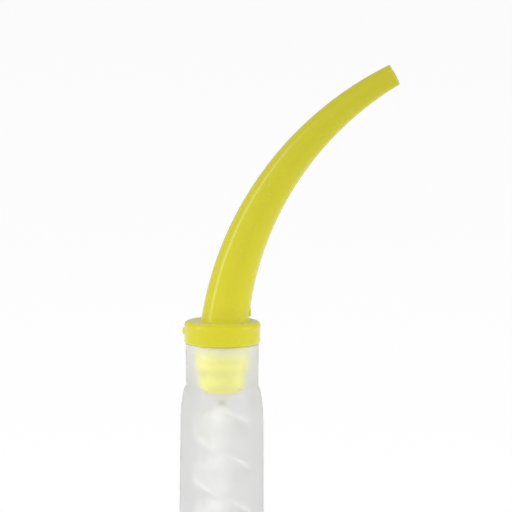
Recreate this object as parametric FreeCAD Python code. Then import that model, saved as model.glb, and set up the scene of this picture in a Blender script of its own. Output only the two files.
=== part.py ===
# Dental mixing nozzle with a curved intraoral tip, in millimetres.
#
# A slim static mixer for two-part dental paste. A locking cap clips it to a twin cartridge, an inlet insert
# leads the two pastes up into a frosted tube, a stack of helical elements folds them together, and a curved
# translucent tip snaps into the outlet. The tip swivels, so the paste can be laid anywhere in the mouth.
#
# Frame: +Z is the axis of the tube, from the cartridge to the outlet. The origin is the centre of the cap's
# lower rim. The tip curves towards +X, in the XZ plane.

import FreeCAD, Part
import math
import os

Vector = FreeCAD.Vector
ORIGIN = Vector(0, 0, 0)
UP = Vector(0, 0, 1)

# ---------------------------------------------------------------- driving dimensions

# Mixing stack: half-turn elements of one hand that run on into each other as one twisted ribbon.
MIX_DIAMETER = 4.2
ELEMENT_COUNT = 12
ELEMENT_LENGTH = 3.16
ELEMENT_TURN = -180.0
PLATE_THICKNESS = 0.62
TOP_PLATE_ANGLE = 82.5
STACK_END_RADIUS = 1.1
STACK_END_TAPER = 0.8
STACK_FOOT = 14.0
STACK_TOP = STACK_FOOT + ELEMENT_COUNT * ELEMENT_LENGTH

# Mixer tube, from its outlet rim downwards.
STACK_TO_RIM = 4.36
RIM = STACK_TOP + STACK_TO_RIM
RIM_ROUND = 0.12
RIM_COUNTERSINK = 0.22
NECK_RIM_RADIUS = 2.63
NECK_FOOT_RADIUS = 2.59
NECK_HEIGHT = 3.03
SHOULDER_HEIGHT = 2.56
SHOULDER_STEP = 0.33
SHOULDER_STEP_HEIGHT = 0.54
BARREL_TOP_RADIUS = 2.975
BARREL_FOOT_RADIUS = 3.21
BARREL_FOOT = 15.0
BARREL_BORE_RADIUS = MIX_DIAMETER / 2 + 0.03
THROAT_DROP = 3.62
THROAT_HEIGHT = 0.8
THROAT_ROUND = 0.8

# Bell and flange at the tube's foot.
BELL_RADIUS = 5.3
BELL_TOP = 11.2
BELL_ROUND = 1.5
BELL_BLEND = 3.2
BELL_BORE_RADIUS = 4.45
BELL_BORE_TOP = 9.7
BELL_BORE_ROUND = 0.5
CONE_TOP = 13.6
CONE_BLEND = 1.0
FLANGE_RADIUS = 6.85
FLANGE_FOOT = 6.2
FLANGE_HEIGHT = 1.3
FLANGE_ROUND = 0.2
GUSSET_COUNT = 4
GUSSET_THICKNESS = 0.8
GUSSET_TOP = 17.6
GUSSET_REACH = 5.1

# Intraoral tip: collar, stepped plug and curved spout.
COLLAR_GAP = 0.03
COLLAR_HEIGHT = 1.56
COLLAR_TOP_RADIUS = 2.74
COLLAR_FOOT_RADIUS = 2.715
COLLAR_TOP_ROUND = 0.30
COLLAR_FOOT_ROUND = 0.14
SPOUT_ARC_RADIUS = 23.65
SPOUT_ARC_DROP = 1.29
SPOUT_SWEEP = 61.1
SPOUT_ROOT_SWEEP = 5.0
SPOUT_ROOT_ROUND = 0.25
SPOUT_MEAN_DIAMETER = 2.158
SPOUT_TAPER = 1.426
SPOUT_LIP_ROUND = 0.07
CHANNEL_ROOT_RADIUS = 1.12
CHANNEL_OUTLET_RADIUS = 0.45
CHANNEL_MOUTH_RADIUS = 1.22
PLUG_CLEARANCE = 0.03
PLUG_SEAT_RADIUS = 1.97
PLUG_SEAT_HEIGHT = 1.7
PLUG_NOSE_RADIUS = 1.70
PLUG_LENGTH = 3.6
PLUG_STEP_HEIGHT = 0.5
PLUG_END_RADIUS = 1.42
PLUG_END_TAPER = 0.55
PLUG_END_ROUND = 0.2
PLUG_NOSE_ROUND = 0.6
BEAD_DROP = 1.05
BEAD_HALF_HEIGHT = 0.3
BEAD_PROUD = 0.07
BEAD_ROUND = 0.4
GATE_MARK_RADIUS = 0.33
GATE_MARK_PROUD = 0.13
GATE_MARK_LIFT = 0.87
SLIDE_MARK_RADIUS = 0.32
SLIDE_MARK_PROUD = 0.07
SLIDE_MARK_LIFT = 2.25
SLIDE_MARK_ROUND = 0.06

# Inlet insert: two inlet tubes, a disc under the flange, a spigot in the bell and a dividing wall.
INLET_SPACING = 5.4
INLET_RADIUS = 2.3
INLET_BORE_RADIUS = 1.4
INLET_FOOT = 0.5
INLET_CHAMFER = 0.25
DISC_RADIUS = 6.3
DISC_FOOT = 5.0
DISC_ROUND = 0.15
SPIGOT_RADIUS = BELL_BORE_RADIUS - 0.03
SPIGOT_TOP = 9.3
SPIGOT_CHAMFER = 0.35
DIVIDER_THICKNESS = 0.7
DIVIDER_TOP = STACK_FOOT - 0.18
DIVIDER_CLEARANCE = 0.05
EAR_WIDTH = 1.8
EAR_REACH = 6.95

# Locking cap: ring, deck, grip wings, bayonet lugs and the catches that hold the flange.
CAP_RADIUS = 8.5
CAP_HEIGHT = 9.0
CAP_BORE_RADIUS = 7.1
CAP_BORE_LEAD = 0.25
CAP_TOP_ROUND = 0.9
CAP_EDGE_ROUND = 0.15
CAP_TRAVEL = 90.0
DECK_FOOT = 7.65
DECK_HOLE_RADIUS = 5.45
DECK_HOLE_CHAMFER = 0.2
WING_RADIUS = 11.0
WING_HALF_WIDTH = 4.6
WING_FOOT = 2.0
WING_TOP = 8.1
WING_CORNER_ROUND = 1.0
WING_EDGE_ROUND = 0.5
WING_ROOT_ROUND = 0.6
GRIP_GROOVES = 5
GRIP_GROOVE_RADIUS = 0.42
GRIP_GROOVE_DEPTH = 0.3
GRIP_GROOVE_PITCH = 1.55
LUG_RADIUS = 9.9
LUG_HEIGHT = 1.5
LUG_HALF_ANGLE = 33.0
LUG_CORNER_ROUND = 0.3
LUG_RAMP = 0.45
LUG_RAMP_ANGLE = 14.0
CATCH_WIDTH = 2.4
CATCH_REACH = 0.42
CATCH_HEIGHT = 0.55
CATCH_LAND = 0.12
CATCH_GAP = 0.1
STOP_GAP_ANGLE = 1.0
NOTCH_DEPTH = 0.5
NOTCH_HALF_WIDTH = 0.7
NOTCH_HEIGHT = 2.4

LOFT_STEPS = 12
SINK = 0.3  # how far one primitive runs into the next where two are joined
MARGIN = 1.0  # how far a cutting shape runs past the material it cuts


# ---------------------------------------------------------------- drawing helpers


def at(radius, height):
    """A point of a turned outline: radius along X, height along Z."""
    return Vector(radius, 0, height)


def rounded(corners):
    """Edges along (radius, height, rounding) corners, with an arc of that rounding at each inner corner."""
    points = [at(radius, height) for radius, height, _ in corners]
    roundings = [rounding for _, _, rounding in corners]
    edges = []
    start = points[0]
    for before, corner, after, rounding in zip(points, points[1:], points[2:], roundings[1:]):
        into = (corner - before).normalize()
        out = (after - corner).normalize()
        half_turn = into.getAngle(out) / 2
        end = corner
        if rounding:
            setback = rounding * math.tan(half_turn)
            inward = (out - into).normalize()
            centre = corner + inward * (rounding / math.cos(half_turn))
            end = corner - into * setback
            arc = Part.Arc(end, centre - inward * rounding, corner + out * setback)
        edges.append(Part.LineSegment(start, end).toShape())
        start = corner
        if rounding:
            edges.append(arc.toShape())
            start = corner + out * setback
    edges.append(Part.LineSegment(start, points[-1]).toShape())
    return edges


def turned(edges):
    """The solid swept about Z by an outline that starts and ends on the axis."""
    first = edges[0].Vertexes[0].Point
    last = edges[-1].Vertexes[-1].Point
    wire = Part.Wire(edges + [Part.LineSegment(last, first).toShape()])
    return Part.Face(wire).revolve(ORIGIN, UP, 360)


def prism(corners, travel):
    """A flat outline pushed along a straight line."""
    return Part.Face(Part.makePolygon(corners + corners[:1])).extrude(travel)


def web(corners, thickness):
    """A flat plate in the XZ plane, centred on Y = 0."""
    plate = prism(corners, Vector(0, thickness, 0))
    plate.translate(Vector(0, -thickness / 2, 0))
    return plate


def turned_by(shape, degrees):
    """A copy of shape turned about the Z axis."""
    copy = shape.copy()
    copy.rotate(ORIGIN, UP, degrees)
    return copy


def around(shape, count, first=0.0):
    """Copies of shape spaced evenly about the Z axis."""
    return [turned_by(shape, first + 360.0 * i / count) for i in range(count)]


# ---------------------------------------------------------------- mixing element


def plate_section(height, angle):
    """The plate's cross-section at one height: a bar across the axis, turned by the twist."""
    half_width = MIX_DIAMETER / 2 + MARGIN
    half_thickness = PLATE_THICKNESS / 2
    corners = [
        Vector(-half_width, -half_thickness, height),
        Vector(half_width, -half_thickness, height),
        Vector(half_width, half_thickness, height),
        Vector(-half_width, half_thickness, height),
    ]
    section = Part.makePolygon(corners + corners[:1])
    section.rotate(ORIGIN, UP, angle)
    return section


def twisted_plate(foot, foot_angle):
    """One half-turn element, before it is trimmed to the mixing diameter."""
    sections = []
    for i in range(LOFT_STEPS + 1):
        share = i / LOFT_STEPS
        sections.append(plate_section(foot + ELEMENT_LENGTH * share, foot_angle + ELEMENT_TURN * share))
    return Part.makeLoft(sections, True, False)


def stack_bounds():
    """The mixing diameter, drawn in at both ends so that the end plates split the flow cleanly."""
    radius = MIX_DIAMETER / 2
    return turned(
        rounded(
            [
                (0, STACK_FOOT, 0),
                (STACK_END_RADIUS, STACK_FOOT, 0),
                (radius, STACK_FOOT + STACK_END_TAPER, 0),
                (radius, STACK_TOP - STACK_END_TAPER, 0),
                (STACK_END_RADIUS, STACK_TOP, 0),
                (0, STACK_TOP, 0),
            ]
        )
    )


def mixing_element():
    """The whole stack, one moulding: each element starts at the angle where the one above it ends."""
    plates = []
    for level in range(1, ELEMENT_COUNT + 1):
        foot = STACK_TOP - level * ELEMENT_LENGTH
        plates.append(twisted_plate(foot, TOP_PLATE_ANGLE - level * ELEMENT_TURN))
    return plates[0].multiFuse(plates[1:]).common(stack_bounds())


# ---------------------------------------------------------------- mixer tube


def shoulder():
    """The curve from the neck to the barrel: a short step out, then a long run into the barrel."""
    top = RIM - NECK_HEIGHT
    curve = Part.BezierCurve()
    curve.setPoles(
        [
            at(BARREL_TOP_RADIUS, top - SHOULDER_HEIGHT),
            at(NECK_FOOT_RADIUS + SHOULDER_STEP, top - SHOULDER_STEP_HEIGHT),
            at(NECK_FOOT_RADIUS, top),
        ]
    )
    return curve.toShape()


def tube_outline():
    """The tube's outside, from the flange up to the rim."""
    flange_top = FLANGE_FOOT + FLANGE_HEIGHT
    lower = rounded(
        [
            (0, FLANGE_FOOT, 0),
            (FLANGE_RADIUS, FLANGE_FOOT, FLANGE_ROUND),
            (FLANGE_RADIUS, flange_top, FLANGE_ROUND),
            (BELL_RADIUS, flange_top, 0),
            (BELL_RADIUS, BELL_TOP, BELL_ROUND),
            (BARREL_FOOT_RADIUS, BARREL_FOOT, BELL_BLEND),
            (BARREL_TOP_RADIUS, RIM - NECK_HEIGHT - SHOULDER_HEIGHT, 0),
        ]
    )
    upper = rounded(
        [
            (NECK_FOOT_RADIUS, RIM - NECK_HEIGHT, 0),
            (NECK_RIM_RADIUS, RIM, RIM_ROUND),
            (0, RIM, 0),
        ]
    )
    return lower + [shoulder()] + upper


def tube_bore():
    """The space inside the tube: the bell's seat, a cone, the mixing bore, a throat and the socket."""
    throat_top = RIM - THROAT_DROP
    throat_foot = throat_top - THROAT_HEIGHT
    seat = PLUG_SEAT_RADIUS + PLUG_CLEARANCE
    bead = RIM - BEAD_DROP
    return turned(
        rounded(
            [
                (0, FLANGE_FOOT - MARGIN, 0),
                (BELL_BORE_RADIUS, FLANGE_FOOT - MARGIN, 0),
                (BELL_BORE_RADIUS, BELL_BORE_TOP, BELL_BORE_ROUND),
                (BARREL_BORE_RADIUS, CONE_TOP, CONE_BLEND),
                (BARREL_BORE_RADIUS, throat_foot, THROAT_ROUND),
                (seat, throat_top, THROAT_ROUND),
                (seat, bead - BEAD_HALF_HEIGHT, 0),
                (seat + BEAD_PROUD, bead, BEAD_ROUND),
                (seat, bead + BEAD_HALF_HEIGHT, 0),
                (seat, RIM - RIM_COUNTERSINK, 0),
                (seat + RIM_COUNTERSINK, RIM, 0),
                (seat + RIM_COUNTERSINK, RIM + MARGIN, 0),
                (0, RIM + MARGIN, 0),
            ]
        )
    )


def gusset():
    """A thin stiffening web between the bell's shoulder and the barrel."""
    foot = BELL_TOP - SINK
    root = BARREL_BORE_RADIUS + SINK
    corners = [
        at(root, foot),
        at(GUSSET_REACH, foot),
        at(GUSSET_REACH, BELL_TOP),
        at(BARREL_FOOT_RADIUS - 0.05, GUSSET_TOP),
        at(root, GUSSET_TOP),
    ]
    return web(corners, GUSSET_THICKNESS)


def mixer_tube():
    """Frosted housing: flange, bell, barrel, shoulder and the neck that takes the tip."""
    body = turned(tube_outline()).fuse(around(gusset(), GUSSET_COUNT, first=45.0))
    return body.cut(tube_bore()).removeSplitter()


# ---------------------------------------------------------------- intraoral tip


def spout_centre(sweep):
    """A point of the spout's centre line, so many degrees along its arc."""
    a = math.radians(sweep)
    return at(
        SPOUT_ARC_RADIUS * (1 - math.cos(a)),
        RIM - SPOUT_ARC_DROP + SPOUT_ARC_RADIUS * math.sin(a),
    )


def spout_radius(sweep):
    """The spout's outer radius there. Its two sides are circular arcs that close in on each other."""
    a = math.radians(sweep)
    return (SPOUT_MEAN_DIAMETER + SPOUT_TAPER * (math.cos(a) - math.sin(a))) / 2


def channel_radius(sweep):
    """The channel narrows evenly from the root to the outlet."""
    share = sweep / SPOUT_SWEEP
    return CHANNEL_ROOT_RADIUS + (CHANNEL_OUTLET_RADIUS - CHANNEL_ROOT_RADIUS) * share


def horn(first, last, radius_at):
    """A solid of round sections along the spout's arc."""
    sections = []
    for i in range(LOFT_STEPS + 1):
        sweep = first + (last - first) * i / LOFT_STEPS
        circle = Part.makeCircle(radius_at(sweep), ORIGIN, UP)
        circle.rotate(ORIGIN, Vector(0, 1, 0), sweep)
        circle.translate(spout_centre(sweep))
        sections.append(Part.Wire([circle]))
    return Part.makeLoft(sections, True, False)


def collar_and_plug():
    """The turned part of the tip: the collar on the rim and the stepped plug with its snap bead."""
    collar_foot = RIM + COLLAR_GAP
    collar_top = collar_foot + COLLAR_HEIGHT
    plug_foot = RIM - PLUG_LENGTH
    seat_foot = RIM - PLUG_SEAT_HEIGHT
    bead = RIM - BEAD_DROP
    return turned(
        rounded(
            [
                (0, plug_foot, 0),
                (PLUG_END_RADIUS, plug_foot, PLUG_END_ROUND),
                (PLUG_NOSE_RADIUS, plug_foot + PLUG_END_TAPER, PLUG_NOSE_ROUND),
                (PLUG_NOSE_RADIUS, seat_foot - PLUG_STEP_HEIGHT, 0),
                (PLUG_SEAT_RADIUS, seat_foot, 0),
                (PLUG_SEAT_RADIUS, bead - BEAD_HALF_HEIGHT, 0),
                (PLUG_SEAT_RADIUS + BEAD_PROUD, bead, BEAD_ROUND),
                (PLUG_SEAT_RADIUS, bead + BEAD_HALF_HEIGHT, 0),
                (PLUG_SEAT_RADIUS, collar_foot, 0),
                (COLLAR_FOOT_RADIUS, collar_foot, COLLAR_FOOT_ROUND),
                (COLLAR_TOP_RADIUS, collar_top, COLLAR_TOP_ROUND),
                (0, collar_top, 0),
            ]
        )
    )


def plug_channel():
    """The straight, tapering part of the paste channel, inside the plug."""
    plug_foot = RIM - PLUG_LENGTH
    arc_foot = RIM - SPOUT_ARC_DROP
    taper = (CHANNEL_MOUTH_RADIUS - CHANNEL_ROOT_RADIUS) / (arc_foot - plug_foot)
    return Part.makeCone(
        CHANNEL_MOUTH_RADIUS + taper * MARGIN,
        CHANNEL_ROOT_RADIUS,
        arc_foot - plug_foot + MARGIN,
        Vector(0, 0, plug_foot - MARGIN),
    )


def gate_mark():
    """The small stub of the broken gate, on the outer side of the collar."""
    reach = COLLAR_TOP_RADIUS + GATE_MARK_PROUD - GATE_MARK_RADIUS
    return Part.makeSphere(GATE_MARK_RADIUS, Vector(-reach, 0, RIM + GATE_MARK_LIFT))


def slide_mark():
    """A low round pad where the mould's core slide met the spout, on the inner side of the bend."""
    sweep = math.degrees(math.asin((SLIDE_MARK_LIFT + SPOUT_ARC_DROP) / SPOUT_ARC_RADIUS))
    radius = spout_radius(sweep)
    face = spout_centre(sweep).x + radius / math.cos(math.radians(sweep)) + SLIDE_MARK_PROUD
    start = Vector(face - radius / 2, 0, RIM + SLIDE_MARK_LIFT)
    pad = Part.makeCylinder(SLIDE_MARK_RADIUS, radius / 2, start, Vector(1, 0, 0))
    rim = [edge for edge in pad.Edges if edge.CenterOfMass.x > face - 0.01]
    return pad.makeFillet(SLIDE_MARK_ROUND, rim)


def root_edges(body):
    """The edges where the spout rises out of the flat top of the collar."""
    top = RIM + COLLAR_GAP + COLLAR_HEIGHT
    flat_reach = COLLAR_TOP_RADIUS - COLLAR_TOP_ROUND

    def at_root(vertex):
        return abs(vertex.Z - top) < 0.001 and math.hypot(vertex.X, vertex.Y) < flat_reach - 0.05

    return [edge for edge in body.Edges if all(map(at_root, edge.Vertexes))]


def intraoral_tip():
    """One translucent moulding: plug, collar and a curved, tapering spout, with a channel right through."""
    spout = horn(SPOUT_ROOT_SWEEP, SPOUT_SWEEP, spout_radius)
    end = spout_centre(SPOUT_SWEEP)
    lip = [edge for edge in spout.Edges if (edge.CenterOfMass - end).Length < 0.05]
    spout = spout.makeFillet(SPOUT_LIP_ROUND, lip)
    body = collar_and_plug().fuse(spout)
    body = body.makeFillet(SPOUT_ROOT_ROUND, root_edges(body))
    body = body.fuse([gate_mark(), slide_mark()])
    spout_channel = horn(0, SPOUT_SWEEP + MARGIN, channel_radius)
    return body.cut([plug_channel(), spout_channel]).removeSplitter()


# ---------------------------------------------------------------- inlet insert


def inlet_tube(x):
    """The outside of one inlet tube, with a lead-in chamfer at its foot."""
    tube = Part.makeCylinder(INLET_RADIUS, DISC_FOOT - INLET_FOOT + SINK, Vector(x, 0, INLET_FOOT))
    foot_edge = [edge for edge in tube.Edges if edge.CenterOfMass.z < INLET_FOOT + 0.01]
    return tube.makeChamfer(INLET_CHAMFER, foot_edge)


def divider():
    """The wall that keeps the two pastes apart up to the first mixing plate, tapered to follow the cone."""
    foot_reach = BELL_BORE_RADIUS - 0.35
    top_reach = BARREL_BORE_RADIUS - DIVIDER_CLEARANCE
    taper_foot = BELL_BORE_TOP - BELL_BORE_ROUND
    taper_top = CONE_TOP - 0.1
    corners = [
        at(-foot_reach, SPIGOT_TOP - SINK),
        at(foot_reach, SPIGOT_TOP - SINK),
        at(foot_reach, taper_foot),
        at(top_reach, taper_top),
        at(top_reach, DIVIDER_TOP),
        at(-top_reach, DIVIDER_TOP),
        at(-top_reach, taper_top),
        at(-foot_reach, taper_foot),
    ]
    wall = turned_by(web(corners, DIVIDER_THICKNESS), 90.0)
    return wall.common(tube_bore())


def disc_and_spigot():
    """The turned core of the insert, with the two ears that stop the cap at each end of its travel."""
    core = turned(
        rounded(
            [
                (0, DISC_FOOT, 0),
                (DISC_RADIUS, DISC_FOOT, DISC_ROUND),
                (DISC_RADIUS, FLANGE_FOOT, 0),
                (SPIGOT_RADIUS, FLANGE_FOOT, 0),
                (SPIGOT_RADIUS, SPIGOT_TOP - SPIGOT_CHAMFER, 0),
                (SPIGOT_RADIUS - SPIGOT_CHAMFER, SPIGOT_TOP, 0),
                (0, SPIGOT_TOP, 0),
            ]
        )
    )
    bar = Part.makeBox(
        2 * EAR_REACH,
        EAR_WIDTH,
        FLANGE_FOOT - DISC_FOOT,
        Vector(-EAR_REACH, -EAR_WIDTH / 2, DISC_FOOT),
    )
    round_ends = Part.makeCylinder(EAR_REACH, CAP_HEIGHT)
    return core.fuse(bar.common(round_ends))


def inlet_insert():
    """One moulding that carries both inlets and closes the tube's foot."""
    inlets = (-INLET_SPACING / 2, INLET_SPACING / 2)
    body = disc_and_spigot().fuse([inlet_tube(x) for x in inlets] + [divider()])
    length = SPIGOT_TOP - INLET_FOOT + 2 * MARGIN
    bores = [
        Part.makeCylinder(INLET_BORE_RADIUS, length, Vector(x, 0, INLET_FOOT - MARGIN)) for x in inlets
    ]
    return body.cut(bores).removeSplitter()


# ---------------------------------------------------------------- locking cap


def cap_shell():
    """The ring's outside, before the inside is cut."""
    return turned(
        rounded(
            [
                (0, 0, 0),
                (CAP_RADIUS, 0, CAP_EDGE_ROUND),
                (CAP_RADIUS, CAP_HEIGHT, CAP_TOP_ROUND),
                (0, CAP_HEIGHT, 0),
            ]
        )
    )


def cap_inside():
    """The space inside the ring, and the hole in its deck that the bell passes through."""
    mouth = CAP_BORE_RADIUS + CAP_BORE_LEAD
    deck_mouth = DECK_HOLE_RADIUS + DECK_HOLE_CHAMFER
    return turned(
        rounded(
            [
                (0, -MARGIN, 0),
                (mouth, -MARGIN, 0),
                (mouth, 0, 0),
                (CAP_BORE_RADIUS, CAP_BORE_LEAD, 0),
                (CAP_BORE_RADIUS, DECK_FOOT, 0),
                (DECK_HOLE_RADIUS, DECK_FOOT, 0),
                (DECK_HOLE_RADIUS, CAP_HEIGHT - DECK_HOLE_CHAMFER, 0),
                (deck_mouth, CAP_HEIGHT, 0),
                (deck_mouth, CAP_HEIGHT + MARGIN, 0),
                (0, CAP_HEIGHT + MARGIN, 0),
            ]
        )
    )


def grip_wing():
    """One thumb grip on the +X side, with rounded edges."""
    root = CAP_BORE_RADIUS - MARGIN
    middle = (WING_FOOT + WING_TOP) / 2
    wing = Part.makeBox(
        WING_RADIUS - root,
        2 * WING_HALF_WIDTH,
        WING_TOP - WING_FOOT,
        Vector(root, -WING_HALF_WIDTH, WING_FOOT),
    )
    corners = [
        edge
        for edge in wing.Edges
        if edge.CenterOfMass.x > WING_RADIUS - 0.01 and abs(edge.CenterOfMass.z - middle) < 0.01
    ]
    wing = wing.makeFillet(WING_CORNER_ROUND, corners)
    rims = [
        edge
        for edge in wing.Edges
        if edge.CenterOfMass.x > root + 0.01 and abs(edge.CenterOfMass.z - middle) > 0.01
    ]
    return wing.makeFillet(WING_EDGE_ROUND, rims)


def grip_grooves():
    """The upright finger grooves of the wing on the +X side."""
    axis_x = WING_RADIUS + GRIP_GROOVE_RADIUS - GRIP_GROOVE_DEPTH
    first_y = -GRIP_GROOVE_PITCH * (GRIP_GROOVES - 1) / 2
    height = WING_TOP - WING_FOOT + 2 * MARGIN
    groove = Part.makeCylinder(GRIP_GROOVE_RADIUS, height, Vector(axis_x, first_y, WING_FOOT - MARGIN))
    return [groove.translated(Vector(0, i * GRIP_GROOVE_PITCH, 0)) for i in range(GRIP_GROOVES)]


def winged_shell():
    """The ring with both wings, blended together where they meet."""
    body = cap_shell().fuse(around(grip_wing(), 2))
    middle = (WING_FOOT + WING_TOP) / 2

    def on_ring_beside_wing(vertex):
        on_ring = abs(math.hypot(vertex.X, vertex.Y) - CAP_RADIUS) < 0.01
        return on_ring and abs(vertex.Z - middle) < middle - WING_FOOT + 0.01

    roots = [
        edge
        for edge in body.Edges
        if abs(edge.CenterOfMass.x) > WING_HALF_WIDTH and all(map(on_ring_beside_wing, edge.Vertexes))
    ]
    return body.makeFillet(WING_ROOT_ROUND, roots)


def sector(inner, outer, foot, height, half_angle):
    """A piece of a ring, centred on the +Y side."""
    a = math.radians(half_angle)
    corners = [
        Vector(0, 0, foot),
        Vector(-2 * outer * math.sin(a), 2 * outer * math.cos(a), foot),
        Vector(2 * outer * math.sin(a), 2 * outer * math.cos(a), foot),
    ]
    base = Vector(0, 0, foot)
    ring = Part.makeCylinder(outer, height, base).cut(Part.makeCylinder(inner, height, base))
    return ring.common(prism(corners, Vector(0, 0, height)))


def bayonet_lug():
    """One locking lug on the +Y side. Its leading end is ramped, so that the turn draws the cap down."""
    lug = sector(CAP_RADIUS - SINK, LUG_RADIUS, 0, LUG_HEIGHT, LUG_HALF_ANGLE)
    corner_reach = LUG_RADIUS - 0.01
    corners = [edge for edge in lug.Edges if math.hypot(*edge.CenterOfMass[:2]) > corner_reach]
    lug = lug.makeFillet(LUG_CORNER_ROUND, corners)
    ramp_foot = LUG_HEIGHT - LUG_RAMP
    ramp = sector(CAP_RADIUS, LUG_RADIUS + MARGIN, ramp_foot, LUG_RAMP + MARGIN, LUG_RAMP_ANGLE / 2)
    return lug.cut(turned_by(ramp, LUG_RAMP_ANGLE / 2 - LUG_HALF_ANGLE))


def catch():
    """A small catch inside the ring, on the +X side, bevelled below so that the flange can snap past it."""
    root = CAP_BORE_RADIUS + SINK
    top = FLANGE_FOOT - CATCH_GAP
    inner = CAP_BORE_RADIUS - CATCH_REACH
    corners = [
        at(root, top),
        at(inner, top),
        at(inner, top - CATCH_LAND),
        at(CAP_BORE_RADIUS, top - CATCH_HEIGHT),
        at(root, top - CATCH_HEIGHT),
    ]
    return web(corners, CATCH_WIDTH)


def catches():
    """Four catches in two pairs, placed so that the insert's ears stop the cap at both ends of travel."""
    inner = CAP_BORE_RADIUS - CATCH_REACH
    blocked = math.degrees(math.asin(CATCH_WIDTH / 2 / inner) + math.asin(EAR_WIDTH / 2 / inner))
    pair_centre = (CAP_TRAVEL - 180.0) / 2
    spread = CAP_TRAVEL / 2 - blocked - STOP_GAP_ANGLE
    return around(catch(), 2, pair_centre - spread) + around(catch(), 2, pair_centre + spread)


def index_notch():
    """The V groove that is lined up with the cartridge's mark before the cap is turned."""
    top = CAP_HEIGHT + MARGIN
    corners = [
        Vector(-NOTCH_HALF_WIDTH, -CAP_RADIUS - 0.1, top),
        Vector(NOTCH_HALF_WIDTH, -CAP_RADIUS - 0.1, top),
        Vector(0, -CAP_RADIUS + NOTCH_DEPTH, top),
    ]
    return prism(corners, Vector(0, 0, -(NOTCH_HEIGHT + MARGIN)))


def locking_cap():
    """Bayonet cap that turns a quarter turn on the tube's flange."""
    grooves = [turned_by(groove, degrees) for groove in grip_grooves() for degrees in (0, 180)]
    body = winged_shell().fuse(around(bayonet_lug(), 2))
    body = body.cut([cap_inside(), index_notch()] + grooves)
    return body.fuse(catches()).removeSplitter()


# ---------------------------------------------------------------- the assembly


def main():
    """Writes one STEP file for each piece."""
    os.makedirs("parts", exist_ok=True)
    pieces = {
        "intraoral_tip": intraoral_tip(),
        "mixer_tube": mixer_tube(),
        "mixing_element": mixing_element(),
        "inlet_insert": inlet_insert(),
        "locking_cap": locking_cap(),
    }
    for name, shape in pieces.items():
        solid = shape.Solids[0]
        print(f"{name}: {len(shape.Solids)} solid, valid {solid.isValid()}, {solid.Volume:.2f} mm3")
        solid.exportStep(f"parts/{name}.step")


main()
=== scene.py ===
"""Looks for the dental mixing nozzle: a frosted tube with a white helical element inside and a yellow tip.

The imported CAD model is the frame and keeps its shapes. This script gives every piece its plastic, and sets
up a plain white studio with a long-lens camera on the upper part of the nozzle. Lengths are in metres.
"""

import math

import bpy
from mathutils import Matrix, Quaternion, Vector


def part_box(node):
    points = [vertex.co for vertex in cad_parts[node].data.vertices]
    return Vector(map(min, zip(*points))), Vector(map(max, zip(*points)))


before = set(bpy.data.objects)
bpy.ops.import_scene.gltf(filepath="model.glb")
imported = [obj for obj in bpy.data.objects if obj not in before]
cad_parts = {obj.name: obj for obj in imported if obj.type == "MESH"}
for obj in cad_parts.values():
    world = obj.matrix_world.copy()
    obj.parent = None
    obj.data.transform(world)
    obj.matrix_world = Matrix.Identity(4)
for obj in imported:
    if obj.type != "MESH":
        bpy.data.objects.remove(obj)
bpy.context.view_layer.update()
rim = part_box("mixer_tube")[1].z

MM = 0.001

# ---------------------------------------------------------------- plastics

# Yellow tip and cap. The spout's colour darkens between two heights above the tube's rim, as painted shade
# where less light reaches its top. The plug is painted a lighter colour, as painted light for the light that
# runs down inside it, and this gives way to the spout's colour in the last bit below the rim.
YELLOW = (0.655, 0.607, 0.002)
# Painted shade: the spout's top is painted this darker yellow, where less light falls.
YELLOW_TOP_PAINTED_SHADE = (0.53, 0.492, 0.002)
# Painted light: the plug's lighter yellow stands for light that runs down inside it.
YELLOW_PLUG_PAINTED_GLOW = (1.0, 0.97, 0.2)
SPOUT_FADE_START = 2.0 * MM
SPOUT_FADE_END = 19.0 * MM
PLUG_FADE = 0.2 * MM

# Frosted wall. The bore is clear, and the tint and the satin are in the outer skin. One turns into the other
# between two distances from the tube's axis. The neck is painted paler towards its rim, as painted light for
# the bright band under the collar, where the collar's shade falls, and it is milkier close to the rim.
# Clarity is the share of light that passes, and it falls again where the wall is seen at a slant.
FROSTED = (0.74, 0.74, 0.738)
# Painted light: the neck's paler colour by the rim, for the bright band under the collar's shade.
FROSTED_RIM_PAINTED_LIGHT = (0.86, 0.86, 0.855)
FROSTED_BORE = (1.0, 1.0, 0.995)
SKIN_START = 2.3 * MM
SKIN_FULL = 2.45 * MM
NECK_FADE = 3.0 * MM
MILKY_START = 1.0 * MM
MILKY_FULL = 0.3 * MM
BORE_ROUGHNESS = 0.25
BORE_CLARITY = 0.97
WALL_CLARITY = 0.88
RIM_CLARITY = 0.55
EDGE_CLARITY = 0.5
EDGE_SLANT = 0.8

# Twisted plate.
WHITE = (0.90, 0.90, 0.89)

# Fine relief, and the stretch of its range in which a noise nearly always lies.
GRAIN_SIZE = 0.15 * MM
GRAIN_DEPTH = 0.004 * MM
SATIN_SIZE = 0.25 * MM
SATIN_DEPTH = 0.0003 * MM
NOISE_LOW = 0.3
NOISE_HIGH = 0.7
RIDGE_CREST = 0.03 * MM
RIDGE_FOOT = 0.08 * MM

# ---------------------------------------------------------------- studio and camera

# The sky changes from its front brightness to its back brightness while the Y part of the direction runs
# from -SKY_TURN to SKY_TURN.
FLOOR_COLOUR = (0.97, 0.97, 0.97)
FLOOR_GLOW = 0.17
FLOOR_RADIUS = 3.0
FLOOR_SIDES = 96
SKY_FRONT = 1.07
SKY_BACK = 0.55
SKY_TURN = 0.8
PURE_WHITE = (1.0, 1.0, 1.0)
STRIP_HEIGHT = 0.4
LEFT_STRIP = {"place": (-0.5, -0.08, 0.24), "width": 0.05, "power": 0.5}
RIGHT_STRIP = {"place": (0.5, -0.05, 0.2), "width": 0.08, "power": 0.35}

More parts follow.
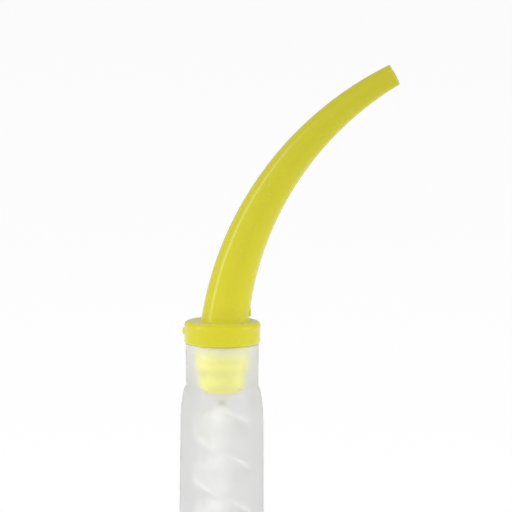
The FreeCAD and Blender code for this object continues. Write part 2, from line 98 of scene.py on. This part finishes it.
# The camera looks at a point above the tube's rim. VIEW_WIDTH is how wide its picture is there.
VIEW_WIDTH = 36.57 * MM
AIM_X = 2.378 * MM
AIM_ABOVE_RIM = 6.288 * MM
CAMERA_DISTANCE = 1.2
CAMERA_ELEVATION = 8.0
CAMERA_ROLL = 0.29
CLIP_START = 0.01
CLIP_END = 20.0
SENSOR = 36.0


# ---------------------------------------------------------------- shader helpers


class Nodes:
    """A short way to build a material around one main shader."""

    def __init__(self, name):
        self.material = bpy.data.materials.new(name)
        self.material.use_nodes = True
        self.tree = self.material.node_tree
        self.tree.nodes.clear()
        self.output = self.new("OutputMaterial")
        self.shader = self.new("BsdfPrincipled")
        self.link(self.shader.outputs["BSDF"], self.output.inputs["Surface"])
        self.place = self.new("TexCoord").outputs["Object"]

    def new(self, kind):
        """Adds a shader node, such as a Bump."""
        return self.tree.nodes.new("ShaderNode" + kind)

    def link(self, source, target):
        """Feeds one node's output to another node's input."""
        self.tree.links.new(source, target)

    def set(self, **values):
        """Sets sockets of the main shader, such as roughness or transmission_weight."""
        for name, value in values.items():
            socket = self.shader.inputs[name.replace("_", " ").title().replace("Ior", "IOR")]
            socket.default_value = (*value, 1.0) if socket.type == "RGBA" else value

    def feed(self, socket, source):
        """Feeds another node's output to one socket of the main shader."""
        self.link(source, self.shader.inputs[socket])

    def noise(self, size, detail=2.0):
        """Noise whose features are about size metres wide."""
        texture = self.new("TexNoise")
        texture.inputs["Scale"].default_value = 1.0 / size
        texture.inputs["Detail"].default_value = detail
        self.link(self.place, texture.inputs["Vector"])
        return texture.outputs["Fac"]

    def patchy(self, size, low, high):
        """A value that drifts between about low and high, in patches about size metres wide."""
        return self.between(self.noise(size), NOISE_LOW, NOISE_HIGH, low, high)

    def radius(self):
        """Distance from the tube's axis, in metres."""
        flat = self.new("VectorMath")
        flat.operation = "MULTIPLY"
        flat.inputs[1].default_value = (1.0, 1.0, 0.0)
        length = self.new("VectorMath")
        length.operation = "LENGTH"
        self.link(self.place, flat.inputs[0])
        self.link(flat.outputs["Vector"], length.inputs[0])
        return length.outputs["Value"]

    def height(self):
        """Height above the cap's lower rim, in metres."""
        parts = self.new("SeparateXYZ")
        self.link(self.place, parts.inputs["Vector"])
        return parts.outputs["Z"]

    def offside(self):
        """Distance from the XZ plane, where the two halves of the mould met, in metres."""
        parts = self.new("SeparateXYZ")
        self.link(self.place, parts.inputs["Vector"])
        distance = self.new("Math")
        distance.operation = "ABSOLUTE"
        self.link(parts.outputs["Y"], distance.inputs[0])
        return distance.outputs["Value"]

    def slant(self):
        """Runs from 0 where the surface faces the eye to 1 where it is seen edge on."""
        return self.new("LayerWeight").outputs["Facing"]

    def blend(self, share, first, second):
        """The first colour where share is 0 and the second where it is 1.

        Either may be another node's output.
        """
        mix = self.new("Mix")
        mix.data_type = "RGBA"
        self.link(share, mix.inputs["Factor"])
        for socket, colour in ((mix.inputs[6], first), (mix.inputs[7], second)):
            if isinstance(colour, tuple):
                socket.default_value = (*colour, 1.0)
            else:
                self.link(colour, socket)
        return mix.outputs[2]

    def between(self, source, start, end, low, high):
        """Runs from low to high while source runs from start to end, and stays at low or high past them.

        Low and high may be other nodes' outputs.
        """
        mapped = self.new("MapRange")
        mapped.inputs["From Min"].default_value = start
        mapped.inputs["From Max"].default_value = end
        for socket, value in ((mapped.inputs["To Min"], low), (mapped.inputs["To Max"], high)):
            if isinstance(value, float):
                socket.default_value = value
            else:
                self.link(value, socket)
        self.link(source, mapped.inputs["Value"])
        return mapped.outputs["Result"]

    def bump(self, source, depth):
        """Relief of about depth metres, added on top of any relief already there."""
        bump = self.new("Bump")
        bump.inputs["Distance"].default_value = depth
        self.link(source, bump.inputs["Height"])
        normal = self.shader.inputs["Normal"]
        if normal.is_linked:
            self.link(normal.links[0].from_socket, bump.inputs["Normal"])
        self.link(bump.outputs["Normal"], normal)

    def fine_grain(self):
        """The slight orange peel of an opaque moulding."""
        self.bump(self.noise(GRAIN_SIZE, detail=3.0), GRAIN_DEPTH)

    def parting_line(self, depth):
        """The fine ridge that the mould's joint leaves, in the XZ plane."""
        self.bump(self.between(self.offside(), RIDGE_CREST, RIDGE_FOOT, 1.0, 0.0), depth)

    def lets_light_in(self):
        """Shadow rays pass straight through, so that the pieces inside are lit as through a milky wall."""
        path = self.new("LightPath")
        clear = self.new("BsdfTransparent")
        mix = self.new("MixShader")
        self.link(path.outputs["Is Shadow Ray"], mix.inputs["Fac"])
        self.link(self.shader.outputs["BSDF"], mix.inputs[1])
        self.link(clear.outputs["BSDF"], mix.inputs[2])
        self.link(mix.outputs["Shader"], self.output.inputs["Surface"])


# ---------------------------------------------------------------- materials


def yellow_translucent(name):
    """The tip. Its plug is painted a lighter colour, as painted light for the light that runs down inside
    the real one, and its spout is painted darker towards the top, as painted shade.
    """
    plastic = Nodes(name)
    plastic.set(
        ior=1.49,
        subsurface_weight=0.5,
        subsurface_radius=(1.0, 0.9, 0.1),
        subsurface_scale=0.4 * MM,
        sheen_weight=0.3,
        sheen_roughness=0.35,
    )
    # Painted light: below the rim the plug takes the lighter, glowing yellow.
    above_rim = plastic.between(plastic.height(), rim - PLUG_FADE, rim, 0.0, 1.0)
    # Painted shade: the spout darkens towards its top.
    along = plastic.between(plastic.height(), rim + SPOUT_FADE_START, rim + SPOUT_FADE_END, 0.0, 1.0)
    spout = plastic.blend(along, YELLOW, YELLOW_TOP_PAINTED_SHADE)
    plastic.feed("Base Color", plastic.blend(above_rim, YELLOW_PLUG_PAINTED_GLOW, spout))
    plastic.feed("Roughness", plastic.patchy(size=0.9 * MM, low=0.23, high=0.28))
    plastic.parting_line(depth=0.02 * MM)
    return plastic.material


def frosted(name):
    """The tube and the insert: uncoloured plastic with a clear bore and a satin skin."""
    plastic = Nodes(name)
    plastic.set(ior=1.15)
    radius = plastic.radius()

    in_skin = plastic.between(radius, SKIN_START, SKIN_FULL, 0.0, 1.0)
    # Painted light: the neck's outside is painted paler towards the rim.
    up_neck = plastic.between(plastic.height(), rim - NECK_FADE, rim, 0.0, 1.0)
    outside = plastic.blend(up_neck, FROSTED, FROSTED_RIM_PAINTED_LIGHT)
    plastic.feed("Base Color", plastic.blend(in_skin, FROSTED_BORE, outside))

    satin = plastic.patchy(size=0.8 * MM, low=0.46, high=0.51)
    plastic.feed("Roughness", plastic.between(radius, SKIN_START, SKIN_FULL, BORE_ROUGHNESS, satin))

    milky = (rim - MILKY_START, rim - MILKY_FULL)
    clarity = plastic.between(plastic.height(), *milky, WALL_CLARITY, RIM_CLARITY)
    haze = plastic.between(plastic.slant(), 0.0, EDGE_SLANT, clarity, EDGE_CLARITY)
    plastic.feed("Transmission Weight", plastic.between(radius, SKIN_START, SKIN_FULL, BORE_CLARITY, haze))

    plastic.bump(plastic.noise(SATIN_SIZE), SATIN_DEPTH)
    plastic.parting_line(depth=0.015 * MM)
    plastic.lets_light_in()
    return plastic.material


def white_opaque(name):
    """The twisted plate: soft white plastic."""
    plastic = Nodes(name)
    plastic.set(
        base_color=WHITE,
        ior=1.49,
        subsurface_weight=0.6,
        subsurface_radius=(1.0, 0.95, 0.85),
        subsurface_scale=0.8 * MM,
    )
    plastic.feed("Roughness", plastic.patchy(size=0.5 * MM, low=0.4, high=0.52))
    plastic.fine_grain()
    return plastic.material


def yellow_opaque(name):
    """The locking cap: the tip's yellow in a denser plastic."""
    plastic = Nodes(name)
    plastic.set(
        base_color=YELLOW,
        ior=1.49,
        subsurface_weight=0.4,
        subsurface_radius=(1.0, 0.85, 0.25),
        subsurface_scale=0.6 * MM,
    )
    plastic.feed("Roughness", plastic.patchy(size=0.7 * MM, low=0.28, high=0.38))
    plastic.fine_grain()
    return plastic.material


def paint(node, material):
    """Gives a CAD node its finished material."""
    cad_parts[node].material_slots[0].material = material


def paint_nodes():
    """Gives every moulding its plastic."""
    paint("intraoral_tip", yellow_translucent("tip_translucent_yellow"))
    paint("mixer_tube", frosted("tube_frosted_polypropylene"))
    paint("mixing_element", white_opaque("element_white_plastic"))
    paint("inlet_insert", frosted("insert_frosted_polypropylene"))
    paint("locking_cap", yellow_opaque("cap_yellow_plastic"))


# ---------------------------------------------------------------- studio


def white_paper(name):
    """The floor's paper glows a little, as if it were lit from below."""
    paper = Nodes(name)
    paper.set(
        base_color=FLOOR_COLOUR,
        roughness=0.9,
        emission_color=PURE_WHITE,
        emission_strength=FLOOR_GLOW,
    )
    return paper.material


def floor():
    """A round, pale floor that reaches past everything the camera sees."""
    bpy.ops.mesh.primitive_circle_add(
        vertices=FLOOR_SIDES,
        radius=FLOOR_RADIUS,
        fill_type="NGON",
        location=(0, 0, 0),
    )
    disc = bpy.context.active_object
    disc.name = "floor"
    disc.data.materials.append(white_paper("floor_white"))


def strip_light(name, target, place, width, power):
    """A tall, narrow softbox that faces the target."""
    data = bpy.data.lights.new(name, "AREA")
    data.shape = "RECTANGLE"
    data.size = width
    data.size_y = STRIP_HEIGHT
    data.energy = power
    lamp = bpy.data.objects.new(name, data)
    lamp.location = place
    lamp.rotation_euler = (Vector(target) - Vector(place)).to_track_quat("-Z", "Y").to_euler()
    bpy.context.scene.collection.objects.link(lamp)


def sky():
    """A soft dome of light, brighter on the front half than on the back half."""
    world = bpy.data.worlds.new("studio")
    world.use_nodes = True
    bpy.context.scene.world = world
    tree = world.node_tree
    direction = tree.nodes.new("ShaderNodeTexCoord")
    parts = tree.nodes.new("ShaderNodeSeparateXYZ")
    shade = tree.nodes.new("ShaderNodeMapRange")
    shade.interpolation_type = "SMOOTHSTEP"
    shade.inputs["From Min"].default_value = -SKY_TURN
    shade.inputs["From Max"].default_value = SKY_TURN
    shade.inputs["To Min"].default_value = SKY_FRONT
    shade.inputs["To Max"].default_value = SKY_BACK
    tree.links.new(direction.outputs["Generated"], parts.inputs["Vector"])
    tree.links.new(parts.outputs["Y"], shade.inputs["Value"])
    background = tree.nodes["Background"]
    background.inputs["Color"].default_value = (*PURE_WHITE, 1.0)
    tree.links.new(shade.outputs["Result"], background.inputs["Strength"])


def studio(aim):
    """The sky, with a strip light on each side for the long streaks on the spout."""
    sky()
    strip_light("left", aim, **LEFT_STRIP)
    strip_light("right", aim, **RIGHT_STRIP)


def camera(aim):
    """A long lens in front of the nozzle and slightly above it, turned a touch about its own axis."""
    lens = bpy.data.cameras.new("camera")
    lens.sensor_width = SENSOR
    lens.lens = SENSOR * CAMERA_DISTANCE / VIEW_WIDTH
    lens.clip_start = CLIP_START
    lens.clip_end = CLIP_END
    eye = bpy.data.objects.new("camera", lens)
    elevation = math.radians(CAMERA_ELEVATION)
    back = Vector((0, -math.cos(elevation), math.sin(elevation)))
    eye.location = Vector(aim) + back * CAMERA_DISTANCE
    level = (-back).to_track_quat("-Z", "Y")
    eye.rotation_euler = (level @ Quaternion((0, 0, 1), math.radians(CAMERA_ROLL))).to_euler()
    bpy.context.scene.collection.objects.link(eye)
    bpy.context.scene.camera = eye


def colour_management():
    """Shows the colours as they are, without a film look."""
    view = bpy.context.scene.view_settings
    view.view_transform = "Standard"
    view.look = "None"
    view.exposure = 0.0
    view.gamma = 1.0


aim = (AIM_X, 0.0, rim + AIM_ABOVE_RIM)
camera(aim)
paint_nodes()
floor()
studio(aim)
colour_management()
